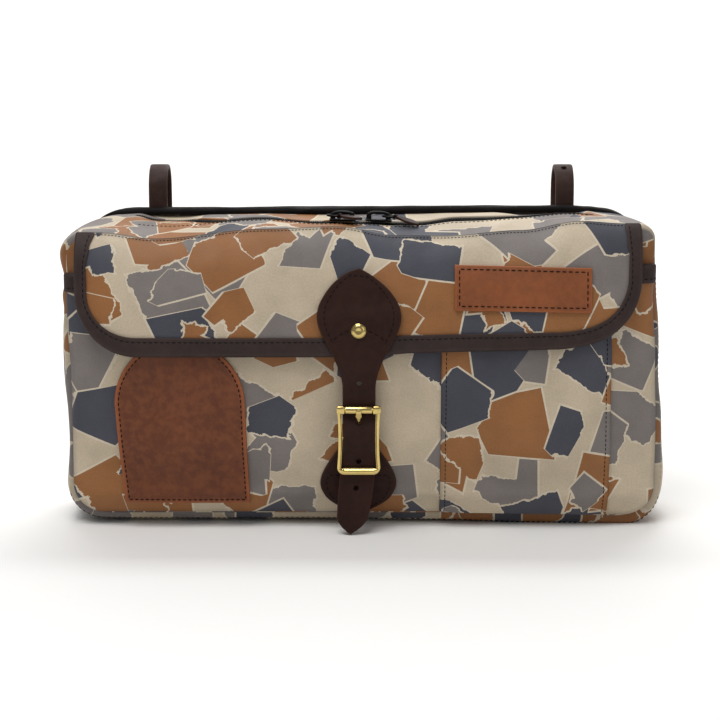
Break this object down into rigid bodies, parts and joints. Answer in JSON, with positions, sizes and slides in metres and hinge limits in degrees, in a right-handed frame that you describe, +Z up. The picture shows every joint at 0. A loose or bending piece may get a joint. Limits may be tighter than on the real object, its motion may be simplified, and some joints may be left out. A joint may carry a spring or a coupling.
{
  "type": "canoe thwart bag",
  "caption": "Zipped canvas bag with a bound front flap closed by a leather strap and brass roller buckle, a front pocket, and leather loops at the back that hang it under a thwart.",
  "frame": {"origin": "middle of the base, on the surface the bag stands on", "axes": "+Z up, +X to the right as seen from the front, front towards -Y"},
  "size_m": [0.3886, 0.14, 0.2275],
  "materials": {
    "camo_canvas": "satin waxed weave",
    "zip_tape": "matte",
    "black_metal": "satin",
    "dark_leather": "satin",
    "chestnut_leather": "satin",
    "brass": "polished"
  },
  "bodies": {
    "root": {"back_panel": "camo_canvas", "front_panel": "camo_canvas", "gusset": "camo_canvas", "top_band_front": "camo_canvas", "top_band_back": "camo_canvas", "zip_tape": "zip_tape", "zip_coil": "zip_tape", "zip_slider_left": "black_metal", "zip_link_left": "black_metal", "zip_pull_left": "dark_leather", "zip_slider_right": "black_metal", "zip_link_right": "black_metal", "zip_pull_right": "dark_leather", "front_pocket": "camo_canvas", "pocket_binding": "dark_leather", "slip_pocket": "camo_canvas", "flap": "camo_canvas", "flap_binding": "dark_leather", "back_binding": "dark_leather", "closure_strap": "dark_leather", "closure_rivet": "brass", "buckle_frame": "brass", "buckle_roller": "brass", "buckle_prong": "brass", "buckle_chape": "dark_leather", "arch_patch": "chestnut_leather", "flap_patch": "chestnut_leather", "thwart_strap_left": "dark_leather", "thwart_rivet_left": "brass", "thwart_stud_left": "brass", "thwart_strap_right": "dark_leather", "thwart_rivet_right": "brass", "thwart_stud_right": "brass"}
  },
  "joints": []
}
